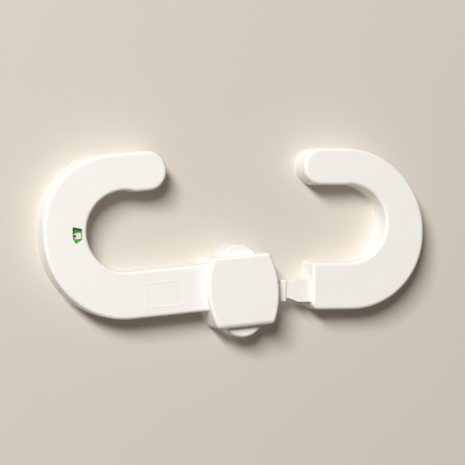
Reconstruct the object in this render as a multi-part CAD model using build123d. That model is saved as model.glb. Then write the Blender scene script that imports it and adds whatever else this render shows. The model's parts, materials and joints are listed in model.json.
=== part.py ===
from build123d import *
import math
import os

# A child-safety lock for two cabinet doors with round knobs. Two C-shaped hooks sit behind the
# knobs. A toothed strap slides inside the left hook's arm and carries the right hook on a hinge.
# Two pawls in the housing hold the strap's teeth, and squeezing the two buttons frees them. The
# upper button also turns an indicator behind a small window in the left hook.
#
# Frame, in millimetres: the doors are the plane Y = 0 and the lock stands off them towards -Y.
# X runs to the right along the left hook's arm and Z runs up. The origin is the centre of the
# left hook's cradle. "Off the doors" means a distance from Y = 0 towards the front.

# Shells
HOOK_DEPTH = 12.0            # both hooks, off the doors
WALL = 1.6                   # moulded walls of the covers and the cap
PLATE = 1.6                  # plates that close the shells at the back
SEAT_GAP = 0.05              # plate to the wall round it
EDGE_ROUND = 1.25            # rounding of the hooks' front edges

# Left hook, sizes from the centre of its cradle
LEFT_CRADLE_RADIUS = 15.1
LEFT_SIDE_BAND = 16.3        # cradle to the hook's outer side
LEFT_TOP_BAND = 13.9         # cradle to the hook's top
ARM_HEIGHT = 17.8            # cradle to the arm's lower edge
LEFT_CROWN_RADIUS = 27.3     # outer corner, upper
LEFT_HEEL_RADIUS = 31.2      # outer corner, lower
LEFT_LIP = 0.85              # how far the tip dips into the cradle's mouth
LEFT_TIP_REACH = 17.35
LEFT_TIP_ROUND = 7.2

# Right hook, sizes from the centre of its own cradle
RIGHT_CRADLE_RADIUS = 14.85
RIGHT_SIDE_BAND = 15.65
RIGHT_TOP_BAND = 13.85
RIGHT_ARM_HEIGHT = 18.1
RIGHT_CROWN_RADIUS = 32.0
RIGHT_HEEL_RADIUS = 29.0
RIGHT_LIP = 0.2
RIGHT_TIP_REACH = 18.7
RIGHT_TIP_ROUND = 6.9
RIGHT_ARM_REACH = 15.0       # cradle to the arm's end face
STRAP_ABOVE_RIGHT_ARM_EDGE = 7.2   # strap's centre line to this arm's lower edge
ARM_END_ROUND = 3.0          # lower corner of that end
ARM_SHOULDER_ROUND = 1.0     # upper corner of that end

# Housing
CAP_DEPTH = 15.4             # off the doors
CAP_TOP_WIDTH = 22.6
CAP_BOTTOM_WIDTH = 21.9
CAP_WAIST_WIDTH = 28.1
CAP_ABOVE_ARM = 2.1
CAP_BELOW_ARM = 7.1
CAP_TOP_CORNER = 1.3
CAP_FOOT_CORNER = 3.0
CAP_EDGE_ROUND = 1.2
CAP_FOOT_ROUND = 2.0         # front edge along the cap's foot
CAP_FIT = 0.08               # cap to the arm and to the buttons
CAP_OVER_ARM = 2.5           # how far the arm runs in past the cap's wall
MIN_ROUND = 0.2              # smallest round on an inner corner
ROUND_SPARE = 0.1            # straight left between two rounds

# Strap, hinge and link
STRAP_TRAVEL = 41.0          # outwards from the stored position
STRAP_RUN_IN = 1.2           # inwards from it
STRAP_HEIGHT = 5.8           # over the teeth
STRAP_THICKNESS = 5.2
STRAP_ABOVE_ARM_EDGE = 5.4   # strap's centre line to the arm's lower edge
STRAP_FREE_PLAY = 0.2        # to the walls and rails round it
TAIL_PAST_CRADLE = 5.8       # how far the tail reaches under the left cradle
TAIL_TAPER = 2.6
TOOTH_PITCH = 2.0
TOOTH_DEPTH = 0.9
TOOTH_LAND = 0.3             # flat tip of a tooth
HINGE_INSIDE_CAP = 4.95      # hinge to the cap's right side
KNUCKLE_RADIUS = 2.7
HINGE_PIN_RADIUS = 1.0
HINGE_CLEARANCE = 0.05
TONGUE_THICKNESS = 1.8
FORK_GAP = 0.1               # tongue to each cheek of the fork
KNUCKLE_GAP = 0.5            # knuckle to what faces it
TONGUE_ROOT = 1.0            # how deep the tongue is rooted in the strap
COLLAR_START = 6.85          # hinge to the link's stop collar
COLLAR_WIDTH = 2.4
COLLAR_HEIGHT = 8.2
COLLAR_ROUND = 0.6
COLLAR_BEHIND = 1.2          # collar past the link's back and front faces
COLLAR_AHEAD = 0.6
PADDLE_START = 15.05         # hinge to the link's full height
PADDLE_HEIGHT = 8.4
TAIL_IN_HOOK = 11.0          # how far the link runs into the right hook
LINK_PIN_RADIUS = 1.5
LINK_PIN_FROM_TAIL = 4.0
LINK_PIN_BOSS = 1.0          # wall round the pin's socket
PIN_SUNK = 0.1               # pin's end below the face round it
RIGHT_CRADLE_FROM_HINGE = 34.25
HOOK_TILT_REST = 5.3         # degrees, right hook hangs below the arm's line
MOUTH_HEIGHT = 8.1
MOUTH_PLAY = 0.3             # mouth to the strap's front and back

# Buttons, pawls and springs
LOBE_RADIUS = 8.3
LOBE_PROUD = 4.1             # out of the cap's top and bottom
BUTTON_STROKE = 3.4
BUTTON_DEPTH = 9.8
BUTTON_REAR = 1.9            # off the doors
BUTTON_ROUND = 1.0
HEAD_WIDTH = 14.6            # the lobe where it slides through the cap
FLANGE_OVERLAP = 1.7         # flange past the head, each side
FLANGE_HEIGHT = 1.8
BUTTON_PLAY = 0.2
LEG_WIDTH = 3.4
LEG_THICKNESS = 2.3
LEG_CLEARANCE = 0.6          # leg to the strap it crosses
RELEASE_PLAY = 2.0           # leg to the pawl it lifts
PAWL_LEAF = 1.0
PAWL_STAND_OFF = 0.3         # leaf to the strap's tooth tips
PAWL_TEETH = 2
PAWL_TOOTH_PLAY = 0.1
PAWL_LENGTH = 7.6            # tip to anchor block
ANCHOR_LENGTH = 2.9
ANCHOR_HEIGHT = 2.5
POST_LENGTH = 1.5
POST_HEIGHT = 1.1
POST_FOOT = 0.5              # wider foot under a post, all round
WING_ROOT = 0.5              # how deep a pawl's wing is rooted in its leaf
WING_INSET = 0.2             # wing to the leg's sides
LEAF_INSET = 0.2             # leaf to the strap's front and back
TOOTH_ROOT = 0.2             # how deep a pawl's tooth is rooted in its leaf
SPRING_RADIUS = 1.6
SPRING_WIRE = 0.4
SPRING_TURNS = 3.5
SPRING_RUNS = 12             # straight runs in a turn
SPRING_INSET = 1.7           # spring's centre to the flange's end
SPRING_PLAY = 0.02           # spring to its seats
SPRING_FROM_ROD = 0.6        # spring to the rod behind it
TIP_FROM_SPRING = 0.6        # pawl's tip to the spring beside it
SEAT_RIB = 0.9

# Indicator
WINDOW_HALF_ANGLE = 9.3      # degrees, to the window's farthest corner
WINDOW_FROM_CRADLE = 1.8     # radial
WINDOW_HEIGHT = 3.8          # radial
WINDOW_CORNER = 0.4
WINDOW_INNER_TOP = 7.8       # degrees above the middle, its inner upper corner
WINDOW_INNER_FOOT = 6.2      # degrees below the middle, its inner lower corner
WINDOW_OUTER_TURN = 2.2      # degrees below the middle, where the outer side turns in
WINDOW_FOOT_CUT = 0.85       # radial, how far it has come in at the foot
ARC_THICKNESS = 1.8
ARC_OVERLAP = 1.2            # arc past the window's outer edge
ARC_PLAY = 0.3
ARC_UPPER_MARGIN = 2.3       # degrees, arc past the window's upper end
ARC_LOWER_MARGIN = 6.0       # degrees, arc past the rod's pin
ARC_SLOT_SPARE = 0.4
ARC_FRONT_PLAY = 0.2         # arc to the front wall
ARC_GUIDE_START = 168.0      # degrees, rib round the outside of the arc
ARC_GUIDE_END = 248.0
ARC_GUIDE_WALL = 0.8
ARC_BED_START = 172.0        # degrees, bed under the arc
ARC_BED_WIDTH = 1.2
ROD_TRAVEL = 5.5
ROD_REAR = 4.6               # off the doors
ROD_HEIGHT = 2.2
ROD_THICKNESS = 2.4
ROD_GAP = 0.2                # rod to its rails
ROD_RAIL = 1.0               # rail between strap and rod
ROD_PIN_RADIUS = 0.8
ROD_PIN_MARGIN = 1.2         # rod past its rear pin
ROD_FOOT_WIDTH = 3.0         # upright that carries the front pin
ROD_FOOT_MARGIN = 1.3        # upright past that pin
PIN_ROOT = 1.0               # how deep a pin is rooted in the rod
CAM_WALL = 0.9               # round the slanted slot
CAM_PLAY = 0.1
CAM_SIDE_PLAY = 0.3          # cam plate to the rod in front of it
CAM_FROM_SPRING = 0.6        # cam's line to the spring's centre
CAM_HANGER_WIDTH = 3.6
CAM_HANGER_SHIFT = 0.8
ARC_PIN_RADIUS = 0.85
ARC_PIN_BELOW_CRADLE = 3.8   # cradle's edge to the pin's line

# Screws
SCREW_RADIUS = 1.1
SCREW_HEAD_RADIUS = 2.1
SCREW_HEAD = 1.2
SCREW_LENGTH = 8.0
SCREW_HOLE_GAP = 0.15
BOSS_WALL = 1.2
SEAT_WALL = 0.8              # round a sunk screw head
SEAT_FLOOR = 1.4             # under it
CROWN_SCREW_ANGLES = (125.0, 55.0)   # degrees round the cradle, left and right
HEEL_SCREW_ANGLES = (222.0, -42.0)
HEEL_SCREW_SHARE = 0.675     # of the left arm's height
ARM_SCREW_X = 2.5            # right arm's screw, past the cradle's centre

# Rails on the left rear shell
RAIL_START = -2.0
RAIL_FROM_CAM = 4.0          # rails' end to the cam's leftmost place
RAIL_TOP_GAP = 0.2           # rails to the front wall
BED_WIDTH = 1.0
BED_GAP = 0.1                # beds to what slides on them
BED_INSET = 0.9              # strap's beds to its edges
ROD_RAIL_START = 9.0
ROD_BED_START = 7.0
LINK_BED_INSET = 0.6         # link's beds to its edges

# Blank panel on the left arm
PANEL_LENGTH = 15.0
PANEL_HEIGHT = 9.3
PANEL_LINE = 0.35
PANEL_RISE = 0.08
PANEL_FROM_CRADLE = 5.0
PANEL_BELOW_MIDDLE = 0.7

PAST = 1.0                   # how far a cut reaches past the face that it opens

# Places that follow from the sizes above
ARM_TOP = -LEFT_CRADLE_RADIUS
ARM_BOTTOM = ARM_TOP - ARM_HEIGHT
STRAP_Z = ARM_BOTTOM + STRAP_ABOVE_ARM_EDGE
STRAP_FRONT = HOOK_DEPTH - WALL - STRAP_FREE_PLAY
STRAP_REAR = STRAP_FRONT - STRAP_THICKNESS
STRAP_MIDDLE = (STRAP_REAR + STRAP_FRONT) / 2
STRAP_GUIDE = STRAP_HEIGHT / 2 + STRAP_FREE_PLAY
CAP_TOP = ARM_TOP + CAP_ABOVE_ARM
CAP_BOTTOM = ARM_BOTTOM - CAP_BELOW_ARM
BUTTON_FRONT = BUTTON_REAR + BUTTON_DEPTH
FLANGE_HALF = HEAD_WIDTH / 2 + FLANGE_OVERLAP
SPRING_OFFSET = FLANGE_HALF - SPRING_INSET
TIP_OFFSET = SPRING_OFFSET - SPRING_RADIUS - TIP_FROM_SPRING
PAWL_HOLD = TIP_OFFSET + CAP_WAIST_WIDTH / 2 - HINGE_INSIDE_CAP
STRAP_LENGTH = STRAP_TRAVEL + PAWL_HOLD + TAIL_TAPER
HINGE_X = STRAP_LENGTH - TAIL_PAST_CRADLE
CAP_X = HINGE_X + HINGE_INSIDE_CAP - CAP_WAIST_WIDTH / 2
CAP_LEFT = CAP_X - CAP_WAIST_WIDTH / 2
CAP_RIGHT = CAP_X + CAP_WAIST_WIDTH / 2
COVER_END = CAP_LEFT + WALL + CAP_OVER_ARM
PAWL_TIP_X = CAP_X - TIP_OFFSET
PAWL_ANCHOR_X = PAWL_TIP_X + PAWL_LENGTH
PAWL_UNDER = STRAP_HEIGHT / 2 + PAWL_STAND_OFF
RIGHT_CRADLE_DROP = RIGHT_CRADLE_RADIUS + RIGHT_ARM_HEIGHT - STRAP_ABOVE_RIGHT_ARM_EDGE
RIGHT_ARM_END = RIGHT_CRADLE_FROM_HINGE - RIGHT_ARM_REACH
LINK_TAIL_END = RIGHT_ARM_END + TAIL_IN_HOOK
LINK_PIN_X = LINK_TAIL_END - LINK_PIN_FROM_TAIL
SEAT_RADIUS = SCREW_HEAD_RADIUS + SCREW_HOLE_GAP + SEAT_WALL
SEAT_DEPTH = SCREW_HEAD + SCREW_HOLE_GAP + SEAT_FLOOR
WINDOW_INNER_RADIUS = LEFT_CRADLE_RADIUS + WINDOW_FROM_CRADLE
WINDOW_OUTER_RADIUS = WINDOW_INNER_RADIUS + WINDOW_HEIGHT
ARC_INNER = LEFT_CRADLE_RADIUS + WALL + ARC_PLAY
ARC_OUTER = WINDOW_OUTER_RADIUS + ARC_OVERLAP
ARC_FRONT = HOOK_DEPTH - WALL - ARC_FRONT_PLAY
ARC_REAR = ARC_FRONT - ARC_THICKNESS
ARC_PIN_Z = -LEFT_CRADLE_RADIUS - ARC_PIN_BELOW_CRADLE
ARC_SWING = math.degrees(math.atan(ROD_TRAVEL / 2 / -ARC_PIN_Z))
ROD_Z = STRAP_Z + STRAP_GUIDE + ROD_RAIL + ROD_GAP + ROD_HEIGHT / 2
ROD_FRONT = ROD_REAR + ROD_THICKNESS
CAM_REAR = BUTTON_REAR + CAM_SIDE_PLAY
CAM_FRONT = ROD_REAR - CAM_SIDE_PLAY
CAM_X = CAP_X - SPRING_OFFSET + CAM_FROM_SPRING
SPRING_DEPTH = ROD_FRONT + SPRING_RADIUS + SPRING_FROM_ROD


def slab(outline, rear, front):
    """An outline in X and Z, made solid between two distances off the doors."""
    return extrude(Plane.XZ.offset(rear) * outline, front - rear)


def block(x1, x2, z1, z2, rear, front):
    """A box between two corners in X and Z and two distances off the doors."""
    face = Pos((x1 + x2) / 2, (z1 + z2) / 2) * Rectangle(abs(x2 - x1), abs(z2 - z1))
    return slab(face, rear, front)


def post(x, z, radius, rear, front):
    """A round bar that stands straight off the doors."""
    return slab(Pos(x, z) * Circle(radius), rear, front)


def ring_sector(inner, outer, start, end):
    """Part of a ring round the cradle, from one angle to another, in degrees from +X."""
    low = CenterArc((0, 0), inner, start, end - start)
    high = CenterArc((0, 0), outer, start, end - start)
    return make_face([low, high, Line(low @ 0, high @ 0), Line(low @ 1, high @ 1)])


def round_the_cradle(radius, angle):
    """The point at a radius and an angle round a cradle."""
    return radius * math.cos(math.radians(angle)), radius * math.sin(math.radians(angle))


def hook_outline(cradle, side, top, arm, crown, heel, lip, tip, tip_round, arm_end, end_rounds, inset=0.0):
    """A hook round a cradle at the origin that opens towards +X, drawn inset inside its skin.

    side, top and arm are the bands of material on the left, above and below the cradle.
    """
    reach, upper, lower = cradle + side, cradle + top, cradle + arm
    heel = min(heel, upper + lower - crown - ROUND_SPARE)
    tip_round = min(tip_round, (upper - cradle + lip) / 2 - ROUND_SPARE)
    corners = [
        (arm_end - inset, inset - lower, max(end_rounds[1] - inset, 0)),
        (inset - reach, inset - lower, heel - inset),
        (inset - reach, upper - inset, crown - inset),
        (tip - inset, upper - inset, tip_round - inset),
        (tip - inset, cradle - lip + inset, tip_round - inset),
        (0, cradle - lip + inset, 0),
        (0, -cradle - inset, 0),
        (arm_end - inset, -cradle - inset, max(end_rounds[0] - inset, 0)),
    ]
    points = [(x, z) for x, z, _ in corners]
    line = FilletPolyline(*points, radius=[r for _, _, r in corners], close=True)
    return make_face(line) - Circle(cradle + inset)


def left_outline(arm_end, inset=0.0):
    """The left hook, its arm run on to a given X."""
    return hook_outline(
        LEFT_CRADLE_RADIUS, LEFT_SIDE_BAND, LEFT_TOP_BAND, ARM_HEIGHT, LEFT_CROWN_RADIUS,
        LEFT_HEEL_RADIUS, LEFT_LIP, LEFT_TIP_REACH, LEFT_TIP_ROUND, arm_end + inset, (0, 0), inset,
    )


def right_outline(inset=0.0):
    """The right hook, mirrored to open towards the left hook, with the hinge at the origin."""
    outline = hook_outline(
        RIGHT_CRADLE_RADIUS, RIGHT_SIDE_BAND, RIGHT_TOP_BAND, RIGHT_ARM_HEIGHT, RIGHT_CROWN_RADIUS,
        RIGHT_HEEL_RADIUS, RIGHT_LIP, RIGHT_TIP_REACH, RIGHT_TIP_ROUND, RIGHT_ARM_REACH,
        (ARM_SHOULDER_ROUND, ARM_END_ROUND), inset,
    )
    return Pos(RIGHT_CRADLE_FROM_HINGE, RIGHT_CRADLE_DROP) * mirror(outline, about=Plane.YZ)


def cap_outline(inset=0.0):
    """The housing seen from the front: flat top and foot, bulging sides."""
    top, bottom = CAP_TOP - inset, CAP_BOTTOM + inset
    middle = (top + bottom) / 2
    half_top, half_bottom = CAP_TOP_WIDTH / 2 - inset, CAP_BOTTOM_WIDTH / 2 - inset
    half_waist = CAP_WAIST_WIDTH / 2 - inset
    right = ThreePointArc((half_bottom, bottom), (half_waist, middle), (half_top, top))
    left = ThreePointArc((-half_top, top), (-half_waist, middle), (-half_bottom, bottom))
    face = make_face([right, Line(right @ 1, left @ 0), left, Line(left @ 1, right @ 0)])
    face = fillet(face.vertices().group_by(Axis.Y)[-1], max(CAP_TOP_CORNER - inset, MIN_ROUND))
    face = fillet(face.vertices().group_by(Axis.Y)[0], max(CAP_FOOT_CORNER - inset, MIN_ROUND))
    return Pos(CAP_X, 0) * face


def soften_front(solid, radius):
    """Round the edges of the face that looks away from the doors."""
    front = solid.faces().filter_by(Axis.Y).sort_by(Axis.Y)[0]
    return fillet(front.edges(), radius)


def hung_from_hinge(shape):
    """Move a piece drawn with the hinge at the origin to where the strap holds it."""
    return Pos(HINGE_X, 0, STRAP_Z) * Rot(0, HOOK_TILT_REST, 0) * shape


def left_screw_places():
    """Screw axes in X and Z, in the middle of the left hook's band."""
    tip = (LEFT_TIP_REACH - LEFT_TIP_ROUND, LEFT_CRADLE_RADIUS + (LEFT_TOP_BAND - LEFT_LIP) / 2)
    crown = round_the_cradle(LEFT_CRADLE_RADIUS + LEFT_TOP_BAND / 2, CROWN_SCREW_ANGLES[0])
    heel = round_the_cradle(LEFT_CRADLE_RADIUS + ARM_HEIGHT * HEEL_SCREW_SHARE, HEEL_SCREW_ANGLES[0])
    return [tip, crown, heel]


def right_screw_places():
    """The same for the right hook, with the hinge at the origin."""
    tip = (RIGHT_TIP_ROUND - RIGHT_TIP_REACH, RIGHT_CRADLE_RADIUS + RIGHT_TOP_BAND / 2)
    crown = round_the_cradle(RIGHT_CRADLE_RADIUS + RIGHT_TOP_BAND / 2, CROWN_SCREW_ANGLES[1])
    heel = round_the_cradle(RIGHT_CRADLE_RADIUS + RIGHT_SIDE_BAND / 2, HEEL_SCREW_ANGLES[1])
    arm = (ARM_SCREW_X, -RIGHT_CRADLE_RADIUS - RIGHT_ARM_HEIGHT / 2)
    return [(RIGHT_CRADLE_FROM_HINGE + x, RIGHT_CRADLE_DROP + z) for x, z in (tip, crown, heel, arm)]


def add_cover_bosses(cover, places):
    """Pillars from the front wall that take the screws."""
    for x, z in places:
        cover += post(x, z, SCREW_RADIUS + BOSS_WALL, SEAT_DEPTH + SEAT_GAP, HOOK_DEPTH - WALL / 2)
        cover -= post(x, z, SCREW_RADIUS, SEAT_DEPTH, HOOK_DEPTH - WALL)
    return cover


def add_screw_seats(plate, places):
    """Sunk seats in the back plate for the screw heads."""
    for x, z in places:
        plate += post(x, z, SEAT_RADIUS, 0, SEAT_DEPTH)
        plate -= post(x, z, SCREW_HEAD_RADIUS + SCREW_HOLE_GAP, 0, SCREW_HEAD + SCREW_HOLE_GAP)
        plate -= post(x, z, SCREW_RADIUS + SCREW_HOLE_GAP, 0, SEAT_DEPTH)
    return plate


def screws(places):
    """One pan-head screw in each seat, its head just below the back face."""
    made = []
    for x, z in places:
        head = post(x, z, SCREW_HEAD_RADIUS, SCREW_HOLE_GAP, SCREW_HEAD + SCREW_HOLE_GAP)
        shank = post(x, z, SCREW_RADIUS, SCREW_HEAD, SCREW_HOLE_GAP + SCREW_LENGTH)
        made.append(head + shank)
    return Compound(children=[screw.solid() for screw in made])


def indicator_arc():
    """Arc under the window; its lower end has a radial slot round the rod's front pin."""
    sweep_end = 270 + ARC_SWING + ARC_LOWER_MARGIN
    sweep_start = 180 - WINDOW_HALF_ANGLE - ARC_UPPER_MARGIN
    arc = slab(ring_sector(ARC_INNER, ARC_OUTER, sweep_start, sweep_end), ARC_REAR, ARC_FRONT)
    slot_end = math.hypot(ARC_PIN_Z, ROD_TRAVEL / 2)
    slot = SlotCenterToCenter(slot_end + ARC_PIN_Z + ARC_SLOT_SPARE, 2 * (ARC_PIN_RADIUS + CAM_PLAY))
    middle = (slot_end - ARC_PIN_Z) / 2
    # The end under the arm's flat top wall is trimmed to clear it
    arc -= block(0, 2 * ROD_TRAVEL, ARM_TOP - WALL - ARC_PLAY, 0, ARC_REAR, ARC_FRONT)
    return arc - slab(Rot(0, 0, 270 + ARC_SWING) * Pos(middle, 0) * slot, ARC_REAR, ARC_FRONT)


def indicator_rod():
    """Flat rod above the strap, with a rear pin in the button's cam and a front pin in the arc."""
    pin_x = ROD_TRAVEL / 2
    left, right = pin_x - ROD_FOOT_WIDTH / 2, pin_x + ROD_FOOT_WIDTH / 2
    half = ROD_HEIGHT / 2
    rod = block(left, CAM_X + ROD_PIN_MARGIN, ROD_Z - half, ROD_Z + half, ROD_REAR, ROD_FRONT)
    rod += block(left, right, ROD_Z, ARC_PIN_Z + ROD_FOOT_MARGIN, ROD_REAR, ROD_FRONT)
    rod += post(pin_x, ARC_PIN_Z, ARC_PIN_RADIUS, ROD_FRONT - PIN_ROOT, ARC_FRONT)
    return rod + post(CAM_X, ROD_Z, ROD_PIN_RADIUS, CAM_REAR + PIN_SUNK, ROD_REAR + PIN_ROOT)


def cam_plate():
    """Slanted slot that turns the button's stroke into the rod's longer stroke."""
    angle = math.degrees(math.atan2(BUTTON_STROKE, -ROD_TRAVEL))
    length = math.hypot(BUTTON_STROKE, ROD_TRAVEL)
    place = Pos(CAM_X - ROD_TRAVEL / 2, ROD_Z + BUTTON_STROKE / 2) * Rot(0, 0, angle)
    slot_width = 2 * (ROD_PIN_RADIUS + CAM_PLAY)
    plate = place * SlotCenterToCenter(length, slot_width + 2 * CAM_WALL)
    top = CAP_TOP - WALL - BUTTON_PLAY
    hanger = Rectangle(CAM_HANGER_WIDTH, top - ROD_Z)
    plate = plate + Pos(CAM_X - CAM_HANGER_SHIFT, (top + ROD_Z) / 2) * hanger
    plate = plate - place * SlotCenterToCenter(length + 2 * CAM_PLAY, slot_width)
    return slab(plate, CAM_REAR, CAM_FRONT)


def button(upper):
    """Half-round head, retaining flange and one leg that crosses the strap to the far pawl."""
    edge = CAP_TOP if upper else CAP_BOTTOM
    way = 1 if upper else -1                     # the head's side of the housing
    centre = edge + way * (LOBE_PROUD - LOBE_RADIUS)
    flange_top = edge - way * (WALL + BUTTON_PLAY)
    flange_low = flange_top - way * FLANGE_HEIGHT
    head = Pos(CAP_X, centre) * (Circle(LOBE_RADIUS) & Rectangle(HEAD_WIDTH, 2 * LOBE_RADIUS))
    head -= Pos(CAP_X, flange_low - way * LOBE_RADIUS) * Rectangle(4 * LOBE_RADIUS, 2 * LOBE_RADIUS)
    body = slab(head, BUTTON_REAR, BUTTON_FRONT)
    body = fillet(body.edges().filter_by(GeomType.CIRCLE), BUTTON_ROUND)
    left, right = CAP_X - FLANGE_HALF, CAP_X + FLANGE_HALF
    body += block(left, right, flange_low, flange_top, BUTTON_REAR, BUTTON_FRONT)
    pawl_face = STRAP_Z - way * (PAWL_UNDER - RELEASE_PLAY)
    if upper:
        leg_rear = STRAP_FRONT + LEG_CLEARANCE
    else:
        leg_rear = STRAP_REAR - LEG_CLEARANCE - LEG_THICKNESS
    left, right = CAP_X - LEG_WIDTH / 2, CAP_X + LEG_WIDTH / 2
    body += block(left, right, pawl_face, flange_top, leg_rear, leg_rear + LEG_THICKNESS)
    return body + cam_plate() if upper else body


def pawl_tooth(x):
    """One tooth below the leaf, its steep side at x, with the slope of the strap's notches."""
    slope = (TOOTH_PITCH - TOOTH_LAND) / TOOTH_DEPTH
    tip = STRAP_HEIGHT / 2 - TOOTH_DEPTH + 2 * PAWL_TOOTH_PLAY
    wide = min((PAWL_UNDER - tip) * slope, TOOTH_PITCH - PAWL_TOOTH_PLAY / 2)
    root = PAWL_UNDER + TOOTH_ROOT
    return make_face(Polyline((x, tip), (x + wide, PAWL_UNDER), (x + wide, root), (x, root), close=True))


def pawl(upper):
    """Flexible leaf with teeth in the strap's, a block on a post and a wing for the far leg."""
    # Drawn above a strap on Z = 0, then turned over for the lower one
    leaf = Rectangle(PAWL_LENGTH, PAWL_LEAF)
    profile = Pos((PAWL_TIP_X + PAWL_ANCHOR_X) / 2, PAWL_UNDER + PAWL_LEAF / 2) * leaf
    anchor = Pos(PAWL_ANCHOR_X + ANCHOR_LENGTH / 2, PAWL_UNDER + ANCHOR_HEIGHT / 2)
    profile += anchor * Rectangle(ANCHOR_LENGTH, ANCHOR_HEIGHT)
    for tooth in range(PAWL_TEETH):
        profile += pawl_tooth(PAWL_TIP_X + tooth * TOOTH_PITCH + PAWL_TOOTH_PLAY)
    profile -= anchor * Rectangle(POST_LENGTH + 2 * SEAT_GAP, POST_HEIGHT + 2 * SEAT_GAP)
    body = slab(profile, STRAP_REAR + LEAF_INSET, STRAP_FRONT - LEAF_INSET)
    wing_rear, wing_front = STRAP_FRONT - WING_ROOT, STRAP_FRONT + LEG_CLEARANCE + LEG_THICKNESS
    if upper:
        wing_rear, wing_front = STRAP_REAR - LEG_CLEARANCE - LEG_THICKNESS, STRAP_REAR + WING_ROOT
    half = LEG_WIDTH / 2 - WING_INSET
    body += block(CAP_X - half, CAP_X + half, PAWL_UNDER, PAWL_UNDER + PAWL_LEAF, wing_rear, wing_front)
    return Pos(0, 0, STRAP_Z) * (body if upper else mirror(body, about=Plane.XY))


def button_spring(upper, side):
    """A coil between the button's flange and the cap's seat rib, in short straight runs of wire."""
    way = 1 if upper else -1
    flange = (CAP_TOP if upper else CAP_BOTTOM) - way * (WALL + BUTTON_PLAY + FLANGE_HEIGHT)
    seat = STRAP_Z + way * (STRAP_GUIDE + SEAT_RIB)
    wire = SPRING_WIRE / 2
    height = abs(flange - seat) - 2 * (wire + SPRING_PLAY)
    count = round(SPRING_TURNS * SPRING_RUNS)
    turned = [round_the_cradle(SPRING_RADIUS - wire, 360 * step / SPRING_RUNS) for step in range(count + 1)]
    path = Polyline(*[(x, y, height * step / count) for step, (x, y) in enumerate(turned)])
    start = Plane(origin=path @ 0, z_dir=path % 0) * RegularPolygon(wire, 6)
    coil = sweep(start, path=path, transition=Transition.RIGHT)
    low = min(flange, seat) + wire + SPRING_PLAY
    return Pos(CAP_X + side * SPRING_OFFSET, -SPRING_DEPTH, low) * coil


def strap():
    """Straight bar with teeth on both edges, a tapered tail and a hinge tongue."""
    tail = HINGE_X - STRAP_LENGTH
    shoulder = HINGE_X - KNUCKLE_RADIUS - KNUCKLE_GAP
    half = STRAP_HEIGHT / 2
    outline = Polyline(
        (shoulder, -half), (shoulder, half), (tail + TAIL_TAPER, half), (tail, half - TAIL_TAPER),
        (tail, TAIL_TAPER - half), (tail + TAIL_TAPER, -half), close=True,
    )
    slope = TOOTH_PITCH - TOOTH_LAND
    notch = [(0, half + PAST), (0, half - TOOTH_DEPTH), (slope, half), (slope, half + PAST)]
    upper = make_face(Polyline(*notch, close=True))
    lower = mirror(upper, about=Plane.XZ)
    back = math.ceil(STRAP_TRAVEL / TOOTH_PITCH)
    ahead = PAWL_TEETH + math.ceil(STRAP_RUN_IN / TOOTH_PITCH)
    places = [PAWL_TIP_X + tooth * TOOTH_PITCH for tooth in range(-back, ahead)]
    bar = make_face(outline) - [Pos(x, 0) * face for x in places for face in (upper, lower)]
    body = slab(bar, STRAP_REAR, STRAP_FRONT)
    tongue = Circle(KNUCKLE_RADIUS)
    root = KNUCKLE_RADIUS + KNUCKLE_GAP + TONGUE_ROOT
    tongue += Pos(-root / 2, 0) * Rectangle(root, 2 * KNUCKLE_RADIUS)
    half = TONGUE_THICKNESS / 2
    body += slab(Pos(HINGE_X, 0) * tongue, STRAP_MIDDLE - half, STRAP_MIDDLE + half)
    body -= post(HINGE_X, 0, HINGE_PIN_RADIUS, STRAP_REAR, STRAP_FRONT)
    return Pos(0, 0, STRAP_Z) * body


def link():
    """Fork, stop collar, narrow waist and paddle, with a plain tail inside the right hook."""
    neck, paddle = KNUCKLE_RADIUS, PADDLE_HEIGHT / 2
    collar_end = COLLAR_START + COLLAR_WIDTH
    outline = Circle(neck) + Pos(collar_end / 2, 0) * Rectangle(collar_end, 2 * neck)
    flare = Spline((collar_end, neck), (PADDLE_START, paddle), tangents=[(1, 0), (1, 0)])
    lower = mirror(flare, about=Plane.XZ)
    outline += make_face([flare, lower, Line(flare @ 0, lower @ 0), Line(flare @ 1, lower @ 1)])
    tail = Rectangle(LINK_TAIL_END - PADDLE_START, PADDLE_HEIGHT)
    outline += Pos((PADDLE_START + LINK_TAIL_END) / 2, 0) * tail
    body = slab(outline, STRAP_REAR, STRAP_FRONT)
    half = COLLAR_HEIGHT / 2
    collar_rear, collar_front = STRAP_REAR - COLLAR_BEHIND, STRAP_FRONT + COLLAR_AHEAD
    collar = block(COLLAR_START, collar_end, -half, half, collar_rear, collar_front)
    body += fillet(collar.edges(), COLLAR_ROUND)
    fork_half = TONGUE_THICKNESS / 2 + FORK_GAP
    reach = KNUCKLE_RADIUS + KNUCKLE_GAP
    body -= block(-reach, reach, -reach, reach, STRAP_MIDDLE - fork_half, STRAP_MIDDLE + fork_half)
    body -= post(0, 0, HINGE_PIN_RADIUS + HINGE_CLEARANCE, STRAP_REAR, STRAP_FRONT)
    return body - post(LINK_PIN_X, 0, LINK_PIN_RADIUS, STRAP_REAR, STRAP_FRONT)


def window_outline():
    """The window's five corners, by radius and angle round the cradle, joined and softened."""
    corners = [
        (WINDOW_OUTER_RADIUS, 180 - WINDOW_HALF_ANGLE),
        (WINDOW_OUTER_RADIUS, 180 + WINDOW_OUTER_TURN),
        (WINDOW_OUTER_RADIUS - WINDOW_FOOT_CUT, 180 + WINDOW_HALF_ANGLE),
        (WINDOW_INNER_RADIUS, 180 + WINDOW_INNER_FOOT),
        (WINDOW_INNER_RADIUS, 180 - WINDOW_INNER_TOP),
    ]
    outline = Polygon(*(round_the_cradle(*corner) for corner in corners), align=None)
    return fillet(outline.vertices(), WINDOW_CORNER)


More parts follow.
